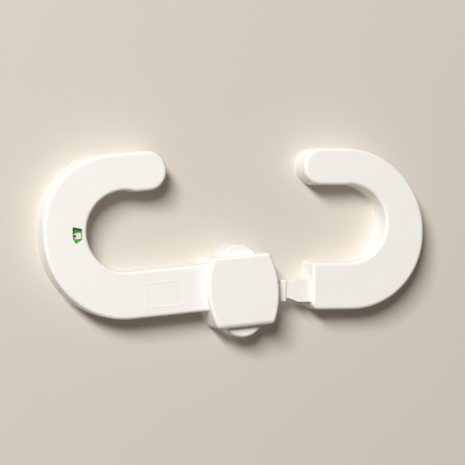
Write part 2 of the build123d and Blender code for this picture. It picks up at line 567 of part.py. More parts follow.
def left_front_cover():
    """The left hook's shell, with the window, the arc's guide rib and the blank panel."""
    cover = soften_front(slab(left_outline(COVER_END), 0, HOOK_DEPTH), EDGE_ROUND)
    cover -= slab(left_outline(COVER_END + PAST, WALL), 0, HOOK_DEPTH - WALL)
    cover = add_cover_bosses(cover, left_screw_places())
    window = window_outline()
    cover -= slab(window, HOOK_DEPTH - WALL - PAST, HOOK_DEPTH)
    rib = ARC_OUTER + ARC_PLAY
    guide = ring_sector(rib, rib + ARC_GUIDE_WALL, ARC_GUIDE_START, ARC_GUIDE_END)
    cover += slab(guide, ARC_REAR, HOOK_DEPTH - WALL / 2)
    x = PANEL_FROM_CRADLE + PANEL_LENGTH / 2
    z = (ARM_TOP + ARM_BOTTOM) / 2 - PANEL_BELOW_MIDDLE
    panel = Rectangle(PANEL_LENGTH, PANEL_HEIGHT)
    panel -= Rectangle(PANEL_LENGTH - 2 * PANEL_LINE, PANEL_HEIGHT - 2 * PANEL_LINE)
    return cover + slab(Pos(x, z) * panel, HOOK_DEPTH - WALL / 2, HOOK_DEPTH + PANEL_RISE)


def add_left_rails(shell):
    """Rails between and above strap and rod, and low beds under strap, rod and arc."""
    end = CAM_X - ROD_TRAVEL - RAIL_FROM_CAM
    root, rail_front = PLATE / 2, HOOK_DEPTH - WALL - RAIL_TOP_GAP
    rod_top = ROD_Z + ROD_HEIGHT / 2 + ROD_GAP
    for start, low in ((RAIL_START, STRAP_Z + STRAP_GUIDE), (ROD_RAIL_START, rod_top)):
        shell += block(start, end, low, low + ROD_RAIL, root, rail_front)
    strap_bed = STRAP_HEIGHT / 2 - BED_INSET
    half = BED_WIDTH / 2
    for start, z, front in (
        (RAIL_START, STRAP_Z - strap_bed, STRAP_REAR),
        (RAIL_START, STRAP_Z + strap_bed, STRAP_REAR),
        (ROD_BED_START, ROD_Z, ROD_REAR),
    ):
        shell += block(start, end, z - half, z + half, root, front - BED_GAP)
    middle, half = (ARC_INNER + ARC_OUTER) / 2, ARC_BED_WIDTH / 2
    bed = ring_sector(middle - half, middle + half, ARC_BED_START, ARC_GUIDE_END)
    return shell + slab(bed, root, ARC_REAR - BED_GAP)


def left_rear_shell():
    """Back plate of the hook and the housing, with the rails and the pawls' posts."""
    inset = WALL + SEAT_GAP
    arm = block(CAP_LEFT, COVER_END, ARM_BOTTOM - SEAT_GAP, ARM_TOP + SEAT_GAP, 0, PLATE)
    shell = slab(cap_outline(inset), 0, PLATE) - arm
    shell += slab(left_outline(COVER_END + PAST, inset), 0, PLATE)
    shell = add_left_rails(add_screw_seats(shell, left_screw_places()))
    x = PAWL_ANCHOR_X + ANCHOR_LENGTH / 2
    half, tall = POST_LENGTH / 2, POST_HEIGHT / 2
    foot, foot_tall = half + POST_FOOT, tall + POST_FOOT
    for way in (-1, 1):
        z = STRAP_Z + way * (PAWL_UNDER + ANCHOR_HEIGHT / 2)
        shell += block(x - foot, x + foot, z - foot_tall, z + foot_tall, PLATE / 2, STRAP_REAR)
        shell += block(x - half, x + half, z - tall, z + tall, STRAP_REAR - PAST, STRAP_FRONT + PAST)
    return shell


def housing_cap():
    """Cap over the arm's end, with slots for the buttons, a mouth for the strap and seat ribs."""
    cap = soften_front(slab(cap_outline(), 0, CAP_DEPTH), CAP_EDGE_ROUND)
    rolled = block(CAP_LEFT - PAST, CAP_RIGHT + PAST, CAP_BOTTOM, CAP_TOP + PAST, -PAST, CAP_DEPTH)
    foot_edge = rolled.edges().filter_by(Axis.X).group_by(Axis.Y)[0].sort_by(Axis.Z)[0]
    cap = cap & fillet(foot_edge, CAP_FOOT_ROUND)
    cap -= slab(cap_outline(WALL), 0, CAP_DEPTH - WALL)
    low, high = ARM_BOTTOM - CAP_FIT, ARM_TOP + CAP_FIT
    arm = block(CAP_LEFT - PAST, COVER_END, low, high, -PAST, HOOK_DEPTH + CAP_FIT)
    cap -= fillet(arm.edges().filter_by(Axis.X).group_by(Axis.Y)[0], EDGE_ROUND)
    slot = HEAD_WIDTH / 2 + CAP_FIT
    for edge in (CAP_TOP, CAP_BOTTOM):
        cap -= block(CAP_X - slot, CAP_X + slot, edge - WALL, edge + WALL, -PAST, BUTTON_FRONT + BUTTON_PLAY)
    low, high = STRAP_Z - MOUTH_HEIGHT / 2, STRAP_Z + MOUTH_HEIGHT / 2
    rear, front = STRAP_REAR - MOUTH_PLAY, STRAP_FRONT + MOUTH_PLAY
    cap -= block(CAP_RIGHT - WALL - PAST, CAP_RIGHT + PAST, low, high, rear, front)
    rib_rear = SPRING_DEPTH - SPRING_RADIUS
    for side in (-1, 1):
        x = CAP_X + side * SPRING_OFFSET
        left, right = x - SPRING_RADIUS, x + SPRING_RADIUS
        for way in (-1, 1):
            near = STRAP_Z + way * STRAP_GUIDE
            cap += block(left, right, near, near + way * SEAT_RIB, rib_rear, CAP_DEPTH - WALL / 2)
    return cap


def right_front_cover():
    """The right hook's shell, with a mouth for the link in the arm's end."""
    cover = soften_front(slab(right_outline(), 0, HOOK_DEPTH), EDGE_ROUND)
    cover -= slab(right_outline(WALL), 0, HOOK_DEPTH - WALL)
    cover = add_cover_bosses(cover, right_screw_places())
    half = PADDLE_HEIGHT / 2 + SEAT_GAP
    left, right = RIGHT_ARM_END - PAST, RIGHT_ARM_END + WALL + PAST
    return cover - block(left, right, -half, half, STRAP_REAR - SEAT_GAP, STRAP_FRONT + SEAT_GAP)


def right_rear_shell():
    """Back plate with screw seats, beds under the link's tail and a socket for its pin."""
    shell = slab(right_outline(WALL + SEAT_GAP), 0, PLATE)
    shell = add_screw_seats(shell, right_screw_places())
    bed, half = PADDLE_HEIGHT / 2 - LINK_BED_INSET, BED_WIDTH / 2
    for z in (-bed, bed):
        shell += block(RIGHT_ARM_END + WALL + PAST, LINK_TAIL_END, z - half, z + half, PLATE / 2, STRAP_REAR)
    shell += post(LINK_PIN_X, 0, LINK_PIN_RADIUS + LINK_PIN_BOSS, PLATE / 2, STRAP_REAR)
    return shell - post(LINK_PIN_X, 0, LINK_PIN_RADIUS, PLATE, STRAP_REAR)


def hinge_pin():
    return post(HINGE_X, STRAP_Z, HINGE_PIN_RADIUS, STRAP_REAR + PIN_SUNK, STRAP_FRONT - PIN_SUNK)


def link_pin():
    return hung_from_hinge(post(LINK_PIN_X, 0, LINK_PIN_RADIUS, PLATE, STRAP_FRONT + PIN_SUNK))


PARTS = {
    "left_front_cover": left_front_cover,
    "left_rear_shell": left_rear_shell,
    "left_screws": lambda: screws(left_screw_places()),
    "housing_cap": housing_cap,
    "upper_button": lambda: button(True),
    "lower_button": lambda: button(False),
    "upper_left_spring": lambda: button_spring(True, -1),
    "upper_right_spring": lambda: button_spring(True, 1),
    "lower_left_spring": lambda: button_spring(False, -1),
    "lower_right_spring": lambda: button_spring(False, 1),
    "upper_pawl": lambda: pawl(True),
    "lower_pawl": lambda: pawl(False),
    "indicator_rod": indicator_rod,
    "indicator_arc": indicator_arc,
    "toothed_strap": strap,
    "strap_hinge_pin": hinge_pin,
    "link": lambda: hung_from_hinge(link()),
    "link_pin": link_pin,
    "right_front_cover": lambda: hung_from_hinge(right_front_cover()),
    "right_rear_shell": lambda: hung_from_hinge(right_rear_shell()),
    "right_screws": lambda: hung_from_hinge(screws(right_screw_places())),
}

os.makedirs("parts", exist_ok=True)
for name, make in PARTS.items():
    export_step(make(), f"parts/{name}.step")
    print("wrote", name)
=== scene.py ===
# %% [markdown]
# # A child-safety lock for two cabinet doors
#
# The real object is a white moulded lock about 150 mm long. Two C-shaped hooks sit behind the
# round knobs of a pair of doors. A toothed strap joins them and slides into the left hook's arm,
# where a squat housing holds two squeeze buttons. A small window in the left hook shows green
# while the lock is shut and red while the upper button is pressed.
#
# The rigid pieces come ready-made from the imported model. This lesson gives every one of them its
# finish, and it models by formula the small things that a flat outline can't give: the printed
# label behind the window, the springs' round wire and the screws with their threads.

import json
import math

import bpy
import numpy as np
from mathutils import Matrix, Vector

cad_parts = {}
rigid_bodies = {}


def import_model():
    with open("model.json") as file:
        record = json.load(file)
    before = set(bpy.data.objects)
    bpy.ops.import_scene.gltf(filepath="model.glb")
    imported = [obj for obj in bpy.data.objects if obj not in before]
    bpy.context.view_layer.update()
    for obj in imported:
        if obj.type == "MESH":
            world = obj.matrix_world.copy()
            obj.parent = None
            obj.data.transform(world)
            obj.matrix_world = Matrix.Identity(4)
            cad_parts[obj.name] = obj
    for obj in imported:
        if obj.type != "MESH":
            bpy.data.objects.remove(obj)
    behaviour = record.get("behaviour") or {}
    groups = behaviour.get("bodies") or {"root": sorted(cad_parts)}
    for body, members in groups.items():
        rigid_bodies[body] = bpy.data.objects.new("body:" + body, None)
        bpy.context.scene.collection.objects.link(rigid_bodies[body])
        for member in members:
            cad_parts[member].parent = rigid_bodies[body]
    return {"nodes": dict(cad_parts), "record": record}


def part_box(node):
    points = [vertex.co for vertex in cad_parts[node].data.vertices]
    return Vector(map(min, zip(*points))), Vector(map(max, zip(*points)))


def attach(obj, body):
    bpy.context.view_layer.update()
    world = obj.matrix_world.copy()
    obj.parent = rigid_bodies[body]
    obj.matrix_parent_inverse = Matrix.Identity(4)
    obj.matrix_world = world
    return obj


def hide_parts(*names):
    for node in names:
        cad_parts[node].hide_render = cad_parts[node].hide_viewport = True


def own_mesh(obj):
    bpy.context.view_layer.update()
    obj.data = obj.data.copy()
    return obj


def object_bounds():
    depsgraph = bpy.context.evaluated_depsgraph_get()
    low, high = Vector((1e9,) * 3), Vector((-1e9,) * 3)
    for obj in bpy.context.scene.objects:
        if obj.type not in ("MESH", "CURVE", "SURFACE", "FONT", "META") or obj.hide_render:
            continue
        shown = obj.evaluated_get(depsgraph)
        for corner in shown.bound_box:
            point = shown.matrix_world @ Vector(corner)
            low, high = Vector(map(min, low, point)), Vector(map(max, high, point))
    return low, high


for left_over in list(bpy.data.objects):
    bpy.data.objects.remove(left_over)

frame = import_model()
cad_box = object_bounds()
nodes = frame["nodes"]
MM = 0.001
print("pieces from the model:", len(nodes))
print("size in mm:", [round((high - low) / MM, 1) for low, high in zip(*cad_box)])

# %% [markdown]
# ## Places worked out from the model
#
# Nothing is placed by eye. The origin is the centre of the left hook's cradle, the doors are the
# plane Y = 0 and the lock stands off them towards -Y. A few lengths that the boxes can't tell,
# such as how wide the window is, are named here once.

# %% Sizes and places
WINDOW_PAST_CRADLE = 1.8 * MM
WINDOW_WIDTH = 3.8 * MM        # along the radius
cradle_radius = frame["record"]["mounts"][0]["dims"]["r_mm"] * MM
window_inner = cradle_radius + WINDOW_PAST_CRADLE
window_outer = window_inner + WINDOW_WIDTH
label_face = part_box("indicator_arc")[0].y          # the arc's front, behind the window
arc_turn = math.radians(16.56)                     # how far the upper button turns the arc
back_face = cad_box[1].y
print("cradle radius", round(cradle_radius / MM, 2), "label at", round(label_face / MM, 2), "mm")

# %% [markdown]
# ## Small helpers for finishes
#
# Colours are written as the sRGB hex values that a colour picker shows, and Blender's shaders
# expect linear light, so one function converts them. Another adds a shader node, sets it and
# links it, which keeps each finish short enough to read in one go. What every finish here does,
# starting a material, mixing two tones and raising a grain, is written once as well.

# %% Colour and node helpers
def linear(hex_colour):
    """An sRGB hex colour as linear light: below 0.04 divide by 12.92, above it a power of 2.4."""
    parts = np.array([int(hex_colour[i:i + 2], 16) for i in (0, 2, 4)]) / 255
    light = np.where(parts <= 0.04045, parts / 12.92, ((parts + 0.055) / 1.055) ** 2.4)
    return (*(float(part) for part in light), 1.0)


def add(tree, kind, sockets=(), **settings):
    """Add one node. Settings are its own properties; sockets are values, or outputs to link."""
    made = tree.nodes.new(kind)
    for name, value in settings.items():
        setattr(made, name, value)
    for name, value in dict(sockets).items():
        if isinstance(value, bpy.types.NodeSocket):
            tree.links.new(value, made.inputs[name])
        else:
            made.inputs[name].default_value = value
    return made


def cells(size_mm):
    """The scale that makes a noise's cells this many millimetres across."""
    return 1 / (size_mm * MM)


def start_material(name):
    """A new material, its node tree and its shader."""
    material = bpy.data.materials.new(name)
    material.use_nodes = True
    return material, material.node_tree, material.node_tree.nodes["Principled BSDF"]


def two_tones(tree, shader, share, light, dark):
    """A base colour between two hex values, by the share that a pattern gives."""
    tones = {"Factor": share, "A": linear(light), "B": linear(dark)}
    tint = add(tree, "ShaderNodeMix", tones, data_type="RGBA")
    tree.links.new(tint.outputs["Result"], shader.inputs["Base Color"])


def raise_grain(tree, shader, height, strength, depth_mm):
    """A bump this many millimetres deep that follows a pattern."""
    relief = {"Height": height, "Strength": strength, "Distance": depth_mm * MM}
    bump = add(tree, "ShaderNodeBump", relief)
    tree.links.new(bump.outputs["Normal"], shader.inputs["Normal"])


print("half grey in linear light:", round(linear("808080")[0], 3))

# %% [markdown]
# ## Moulded plastic
#
# The shells are ABS, moulded in a tool whose walls were spark-eroded. That gives the eye three
# things: a warm white that is never quite even, because the melt cools in faint clouds about a
# centimetre across; a satin gloss; and a fine grain. The real grain is 0.05 mm, too fine to
# show, so it is drawn at 0.35 mm and kept shallow.
#
# The buttons, the strap and the link are different plastics from the same family of finishes, so
# one function makes them all and the values say what differs: acetal is smoother and cooler,
# and nylon is a little yellower and shows faint lines along the way it slides.

# %% A function for moulded plastics
CLOUD_MM = 11                  # faint clouds where the melt cooled unevenly
RUBBED_MM = 2.5                # patches that handling has rubbed a little smoother
GRAIN_MM = 0.35                # the mould's grain, drawn coarser than it is


def moulded_plastic(name, light, dark, gloss, grain_depth_mm=0.004, drawn=(1, 1, 1)):
    """Satin plastic: clouds between two near whites, uneven gloss and a fine grain."""
    material, tree, shader = start_material(name)
    place = add(tree, "ShaderNodeTexCoord").outputs["Object"]
    stretched = add(tree, "ShaderNodeMapping", {"Vector": place, "Scale": drawn}).outputs["Vector"]
    clouds = add(tree, "ShaderNodeTexNoise", {"Vector": place, "Scale": cells(CLOUD_MM), "Detail": 3})
    grain = add(tree, "ShaderNodeTexNoise", {"Vector": stretched, "Scale": cells(GRAIN_MM), "Detail": 2})
    rubbed = add(tree, "ShaderNodeTexNoise", {"Vector": stretched, "Scale": cells(RUBBED_MM), "Detail": 4})
    spread = {"Value": rubbed.outputs["Fac"], "From Min": 0.3, "From Max": 0.7}
    rough = add(tree, "ShaderNodeMapRange", {**spread, "To Min": gloss - 0.05, "To Max": gloss + 0.06})
    two_tones(tree, shader, clouds.outputs["Fac"], light, dark)
    tree.links.new(rough.outputs["Result"], shader.inputs["Roughness"])
    raise_grain(tree, shader, grain.outputs["Fac"], 0.6, grain_depth_mm)
    shader.inputs["IOR"].default_value = 1.53
    return material


abs_shell = moulded_plastic("moulded_white_abs", "F7F6F3", "F2F0EB", gloss=0.48)
abs_back = moulded_plastic("moulded_white_abs_back", "F1EFEA", "EAE7E0", gloss=0.54)
acetal = moulded_plastic("smooth_white_acetal", "EEEFEE", "E8E9E7", gloss=0.36, grain_depth_mm=0.002)
nylon = moulded_plastic("white_nylon", "F6F5F1", "F0EFE9", gloss=0.42, drawn=(0.15, 1, 1))
print("plastics:", [m.name for m in (abs_shell, abs_back, acetal, nylon)])

# %% [markdown]
# ## Metals
#
# The springs are hard-drawn steel wire: bright, with fine lines along the wire that follow its
# length, so that pattern reads the wire's own UV map. The screws and pins are zinc-plated steel,
# which is whiter and slightly mottled, because the plating grows in tiny crystals.

# %% Metal finishes
def metal(name, light, dark, gloss, source="Object", scale=1.0, drawn=(1, 1, 1)):
    """Plated or drawn steel: a base between two greys, and gloss that follows the same pattern."""
    material, tree, shader = start_material(name)
    place = add(tree, "ShaderNodeTexCoord").outputs[source]
    stretched = add(tree, "ShaderNodeMapping", {"Vector": place, "Scale": drawn}).outputs["Vector"]
    pattern = add(tree, "ShaderNodeTexNoise", {"Vector": stretched, "Scale": scale, "Detail": 3})
    spread = {"Value": pattern.outputs["Fac"], "To Min": gloss - 0.08, "To Max": gloss + 0.1}
    rough = add(tree, "ShaderNodeMapRange", spread)
    two_tones(tree, shader, pattern.outputs["Fac"], light, dark)
    tree.links.new(rough.outputs["Result"], shader.inputs["Roughness"])
    shader.inputs["Metallic"].default_value = 1.0
    return material


# A line on the wire is 50 wire widths long, and 12 lie side by side round it.
WIRE_LINES = (1 / 50, 12, 1)
SPANGLE_MM = 0.5               # the plating's crystals
spring_wire = metal("drawn_spring_steel", "C4C2BD", "9E9B95", 0.28, source="UV", drawn=WIRE_LINES)
zinc = metal("zinc_plated_steel", "D4D6D8", "B3B7BC", 0.34, scale=cells(SPANGLE_MM))
print("metals:", spring_wire.name, zinc.name)

# %% [markdown]
# ## Printed label
#
# Behind the window runs a strip of film, screen-printed in thick ink: a green field with a pale
# padlock and its dark keyhole, and a red field with an open one. Ink lies in a satin layer that
# is thicker in some places than in others, which varies its tone a little.

# %% Ink finishes
PUDDLE_MM = 1.2                # patches where the ink lies thicker or thinner


def screen_ink(name, light, dark):
    """Screen-printed ink: one colour that runs thicker and thinner, with a soft gloss."""
    material, tree, shader = start_material(name)
    place = add(tree, "ShaderNodeTexCoord").outputs["Object"]
    wet = add(tree, "ShaderNodeTexNoise", {"Vector": place, "Scale": cells(PUDDLE_MM), "Detail": 4})
    two_tones(tree, shader, wet.outputs["Fac"], light, dark)
    raise_grain(tree, shader, wet.outputs["Fac"], 0.3, 0.01)
    shader.inputs["Roughness"].default_value = 0.42
    return material


green_ink = screen_ink("green_screen_ink", "4C8E38", "3A7C2C")
red_ink = screen_ink("red_screen_ink", "C93A32", "B02A25")
pale_ink = screen_ink("pale_screen_ink", "DFDFCB", "D3D3BD")
dark_ink = screen_ink("dark_screen_ink", "43381F", "352C17")
print("inks:", green_ink.name, red_ink.name, pale_ink.name, dark_ink.name)

# %% [markdown]
# ## Dress the moulded pieces
#
# A piece whose shape is right keeps its mesh and only takes a better material. Which plastic a
# piece is made of follows from its job: shells want to be tough, so ABS; buttons and pawls rub
# and spring, so acetal; the strap and the link carry the pull, so nylon.

# %% Give each piece from the model its finish
FINISHES = {
    abs_shell: ["left_front_cover", "housing_cap", "right_front_cover"],
    abs_back: ["left_rear_shell", "right_rear_shell"],
    acetal: ["upper_button", "lower_button", "upper_pawl", "lower_pawl", "indicator_rod", "indicator_arc"],
    nylon: ["toothed_strap", "link"],
    zinc: ["strap_hinge_pin", "link_pin"],
}
for finish, dressed in FINISHES.items():
    for name in dressed:
        for slot in nodes[name].material_slots:
            slot.material = finish
print("dressed:", sum(len(dressed) for dressed in FINISHES.values()), "pieces")

# %% [markdown]
# ## From a grid of points to a closed piece
#
# Every new piece below is a stack of closed rings: a wire is one round ring carried along a
# helix, a screw is a ring that grows and shrinks along its axis, and a printed field is a small
# four-cornered ring carried along an arc. So one function joins neighbouring rings with
# four-sided faces and closes both ends with a fan. The corners are numbered row by row, and whole
# arrays of them make the faces, so there is no loop over corners.

# %% Rings to a mesh
def skin(name, rings, material, body, wire_uv=False):
    """Join n closed rings of m points. Corner (i, j) is number i*m + j and meets its neighbours."""
    count, around = rings.shape[:2]
    number = np.arange(count * around).reshape(count, around)
    here, there = number[:-1], number[1:]
    sides = np.stack([here, there, np.roll(there, -1, 1), np.roll(here, -1, 1)], -1).reshape(-1, 4)
    ends = rings[[0, -1]].mean(1)
    points = np.vstack([rings.reshape(-1, 3), ends])
    first, last = number[0], number[-1]
    start, stop = count * around, count * around + 1
    fans = [np.stack([np.full(around, start), first, np.roll(first, -1)], -1)]
    fans.append(np.stack([np.full(around, stop), np.roll(last, -1), last], -1))
    mesh = bpy.data.meshes.new(name)
    mesh.from_pydata(points.tolist(), [], sides.tolist() + np.vstack(fans).tolist())
    if volume(points, sides, fans) < 0:
        mesh.flip_normals()
    mesh.polygons.foreach_set("use_smooth", np.ones(len(mesh.polygons), bool))
    mesh.set_sharp_from_angle(angle=math.radians(38))
    if wire_uv:
        spread_uv(mesh, rings)
    mesh.materials.append(material)
    piece = bpy.data.objects.new(name, mesh)
    bpy.context.scene.collection.objects.link(piece)
    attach(piece, body)
    return piece


def volume(points, sides, fans):
    """A sixth of the sum of a . (b x c) over triangles: negative if the faces point inwards."""
    triangles = np.vstack([sides[:, :3], sides[:, [0, 2, 3]], *fans])
    a, b, c = (points[triangles[:, k]] for k in range(3))
    return float(np.einsum("ij,ij->i", a, np.cross(b, c)).sum() / 6)


def spread_uv(mesh, rings):
    """U is the length along the piece in wire widths, V the share of the way round it."""
    count, around = rings.shape[:2]
    steps = np.linalg.norm(np.diff(rings.mean(1), axis=0), axis=1)
    width = np.linalg.norm(rings[0, 0] - rings[0].mean(0)) * 2
    along = np.concatenate([[0], np.cumsum(steps)]) / width
    corners = np.zeros(len(mesh.loops), np.int32)
    mesh.loops.foreach_get("vertex_index", corners)
    corners = np.minimum(corners, count * around - 1)
    uv = np.stack([along[corners // around], (corners % around) / around], -1)
    layer = mesh.uv_layers.new(name="UVMap")
    layer.uv.foreach_set("vector", uv.astype(np.float32).ravel())


print("rings join into a closed skin, with the faces turned outwards by its volume")

# %% [markdown]
# ## Springs
#
# Each button stands on two compression springs of 0.4 mm wire. A spring is easiest as a circle
# carried along a helix. The height isn't even along the wire: at both ends the coil closes on
# itself, as a spring maker winds it so that it stands square. That is one smooth function of
# the angle: the climb is slow in the first and last turn and steady between them.

# %% Coil springs
WIRE = 0.4 * MM                # across
SPRING_TURNS = 5.5
WIRE_ROUND = 12                # points round the wire
STEPS_PER_TURN = 28


def climb(turn, turns):
    """Height from 0 to 1 after a number of turns: slow in the end turns, steady in between."""
    ramp = 0.5 + 0.5 * np.tanh(6 * (turn - 0.75)) * np.tanh(6 * (turns - 0.75 - turn))
    total = np.cumsum(np.maximum(ramp, 0.12))
    return (total - total[0]) / (total[-1] - total[0])


def coil_spring(node):
    """A circle carried along a helix that stands in the node's box."""
    low, high = (np.array(corner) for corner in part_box(node))
    centre = (low + high) / 2
    radius = (high[0] - low[0] - WIRE) / 2
    turn = np.linspace(0, SPRING_TURNS, round(SPRING_TURNS * STEPS_PER_TURN) + 1)
    angle = 2 * np.pi * turn[:, None]
    height = low[2] + WIRE / 2 + climb(turn, SPRING_TURNS)[:, None] * (high[2] - low[2] - WIRE)
    phase = np.linspace(0, 2 * np.pi, WIRE_ROUND, endpoint=False)[None, :]
    out = radius + WIRE / 2 * np.cos(phase)
    x = centre[0] + out * np.cos(angle)
    y = centre[1] + out * np.sin(angle)
    z = height + WIRE / 2 * np.sin(phase)
    rings = np.stack([x, y, z], -1)
    spring = skin(node + "_wire", rings, spring_wire, "left_lock", wire_uv=True)
    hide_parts(node)
    return spring


springs = {level: [coil_spring(f"{level}_{side}_spring") for side in ("left", "right")]
           for level in ("upper", "lower")}
print("springs:", [spring.name for pair in springs.values() for spring in pair])

# %% [markdown]
# A spring stands on a seat beside the strap, and its button pushes the other end towards that seat, so the
# real spring shortens as the button goes in. Here each spring only takes a copy of its mesh; nothing
# shortens it.

# %% Each spring takes a copy of its mesh
for level, pair in springs.items():
    for spring in pair:
        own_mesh(spring)

# %% [markdown]
# ## Screws
#
# Seven pan-head screws close the hooks from behind. A screw is a ring that grows and shrinks
# along its axis, so its outline is a short list of places, and everything else is a change to the
# ring's radius or depth. The thread adds a ridge whose phase turns with the angle, which makes a
# helix. The cross in the head presses the surface in wherever a point lies in one of two bars.

# %% One screw as a turned outline with a thread and a cross
HEAD_RADIUS = 2.1 * MM
HEAD_HEIGHT = 1.2 * MM
SHANK_RADIUS = 1.1 * MM
SHANK_LENGTH = 6.75 * MM
THREAD_PITCH = 0.8 * MM
THREAD_DEPTH = 0.28 * MM
THREAD_FLANK = 3.2             # steepness of the thread's sides
THREAD_CREST = 0.5             # more leaves a wider flat on the thread's top
CROSS_DEPTH = 0.65 * MM
CROSS_HALF_WIDTH = 0.28 * MM
CROSS_REACH = 1.15 * MM
CROSS_WALL = 0.08 * MM         # how far the walls of the cross's bars slope
CROSS_END = 0.25 * MM          # and the ends of its bars
DOME_RISE = 0.16 * MM
RIM_START = 0.86               # share of the head's radius where the rim bends down
RIM_DROP = 0.3 * MM
UNDERSIDE = 0.98               # share of the head's height where its underside starts
TIP_LENGTH = 0.9 * MM
TIP_TAPER = 0.85               # share of the shank's radius that the tip loses
SCREW_SUNK = 0.15 * MM         # how deep the head's top lies in its seat
SCREW_ROUND = 48               # points round a screw
SHANK_STEPS = 90


def screw_outline():
    """Radius and depth below the head's top: a domed disc, its rounded rim, neck, shank, tip."""
    face = np.linspace(0.02, RIM_START, 26) * HEAD_RADIUS
    dome = DOME_RISE * (face / HEAD_RADIUS) ** 2
    bend = np.linspace(0, np.pi / 2, 6)
    rim = HEAD_RADIUS * (RIM_START + (1 - RIM_START) * np.sin(bend))
    rim_depth = dome[-1] + RIM_DROP * (1 - np.cos(bend))
    neck = [HEAD_RADIUS, SHANK_RADIUS]
    neck_depth = [HEAD_HEIGHT * UNDERSIDE, HEAD_HEIGHT]
    shank = np.full(SHANK_STEPS, SHANK_RADIUS)
    shank_end = HEAD_HEIGHT + SHANK_LENGTH - TIP_LENGTH
    shank_depth = np.linspace(HEAD_HEIGHT + 0.02 * MM, shank_end, SHANK_STEPS)
    along_tip = np.linspace(0.1, 1, 8)
    tip = SHANK_RADIUS * (1 - TIP_TAPER * along_tip)
    tip_depth = shank_end + TIP_LENGTH * along_tip
    radius = np.concatenate([face, rim, neck, shank, tip])
    depth = np.concatenate([dome, rim_depth, neck_depth, shank_depth, tip_depth])
    return radius, depth


def screw_rings(x, z):
    """The outline turned round an axis at x, z, with the thread and the cross worked in."""
    radius, depth = screw_outline()
    angle = np.linspace(0, 2 * np.pi, SCREW_ROUND, endpoint=False)[None, :]
    radius, depth = radius[:, None] + 0 * angle, depth[:, None] + 0 * angle
    on_shank = depth > HEAD_HEIGHT + 0.1 * MM
    phase = (depth / THREAD_PITCH - angle / (2 * np.pi)) % 1
    groove = np.clip(THREAD_FLANK * np.abs(phase - 0.5) - THREAD_CREST, 0, 1)
    groove_depth = np.minimum(THREAD_DEPTH, radius * 0.4) * groove
    radius = np.where(on_shank, radius - groove_depth, radius)
    across, up = radius * np.cos(angle), radius * np.sin(angle)
    nearest = np.minimum(np.abs(across), np.abs(up))
    edge = np.clip((CROSS_HALF_WIDTH - nearest) / CROSS_WALL, 0, 1)
    reach = np.clip((CROSS_REACH - radius) / CROSS_END, 0, 1)
    on_face = depth < RIM_DROP
    depth = depth + np.where(on_face, CROSS_DEPTH * edge * reach, 0)
    top = back_face - SCREW_SUNK
    return np.stack([x + across, top - depth, z + up], -1)


print("one screw has", screw_rings(0, 0).shape[0], "rings")

# %% [markdown]
# The model keeps all the screws of a hook in one piece, because they are alike. Their axes are
# read back from it: the corners are gathered into heaps that lie apart, and the middle of each
# heap is an axis. The finished screws of a hook, one piece each, then take that piece's place.

# %% All screws
def axes_in(node, apart):
    """The middles of a node's separate solids, seen from the front, as pairs of X and Z."""
    mesh = nodes[node].data
    corners = np.zeros(len(mesh.vertices) * 3, np.float32)
    mesh.vertices.foreach_get("co", corners)
    left = corners.reshape(-1, 3)[:, [0, 2]].astype(float)
    found = []
    while len(left):
        near = np.linalg.norm(left - left[0], axis=1) < apart
        found.append((left[near].min(0) + left[near].max(0)) / 2)
        left = left[~near]
    return found


def screws(node, body):
    """One threaded screw on each axis of the node. Together they replace it."""
    made = [skin(f"{node}_{i}", screw_rings(*axis), zinc, body)
            for i, axis in enumerate(axes_in(node, 3 * HEAD_RADIUS))]
    for screw in made:
        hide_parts(node)
    return made


screw_sets = screws("left_screws", "left_lock") + screws("right_screws", "right_hook")
print("screws:", len(screw_sets))

# %% [markdown]
# ## The label behind the window
#
# The film lies on the arc's front face, so each printed field is a thin slice of a ring round the
# cradle, and a shackle is half of a narrow ring. Both are a small four-cornered section carried
# along an arc. A padlock's body is flat too: a superellipse, which is a square with round corners,
# made solid between two depths, with a dark dot for the keyhole. The padlocks lie on their side,
# as the real mark does, with the shackle pointing away from the cradle.

# %% Flat shapes
INK = 0.05 * MM                # thickness of the film and of each layer of ink
FIELD_MARGIN_IN = 0.6 * MM     # how far the printed fields reach past the window
FIELD_MARGIN_OUT = 0.7 * MM
FIELD_START, FIELD_SPLIT, FIELD_END = 168.9, 189.0, 207      # degrees


def circle(radius, degrees):
    """Points on a circle: radius times the cosine and the sine of each angle."""
    angle = np.radians(degrees)
    return radius * np.stack([np.cos(angle), np.sin(angle)], -1)


def at_depth(line, y):
    """A flat line of X and Z placed at one depth."""
    return np.stack([line[:, 0], np.full(len(line), y), line[:, 1]], -1)


def flat_piece(name, outline, rear, front, material):
    """A closed outline made solid between two depths, as two rings whose middles are closed."""
    rings = np.array([at_depth(outline, rear), at_depth(outline, front)])
    return skin(name, rings, material, "indicator_arc")


def carried_section(name, outer, inner, rear, front, material):
    """Two lines side by side, at two depths: a four-cornered ring at each step along them."""
    rails = [at_depth(outer, rear), at_depth(outer, front), at_depth(inner, front), at_depth(inner, rear)]
    return skin(name, np.stack(rails, 1), material, "indicator_arc")


def printed_field(name, start, end, material):
    """A slice of a flat ring behind the window, between two angles."""
    degrees = np.linspace(start, end, 40)
    outer = circle(window_outer + FIELD_MARGIN_OUT, degrees)
    inner = circle(window_inner - FIELD_MARGIN_IN, degrees)
    return carried_section(name, outer, inner, label_face, film_front, material)


film_front = label_face - INK
fields = [printed_field("green_field", FIELD_START, FIELD_SPLIT, green_ink),
          printed_field("red_field", FIELD_SPLIT, FIELD_END, red_ink)]
print([field.name for field in fields], "meet at", FIELD_SPLIT, "degrees")

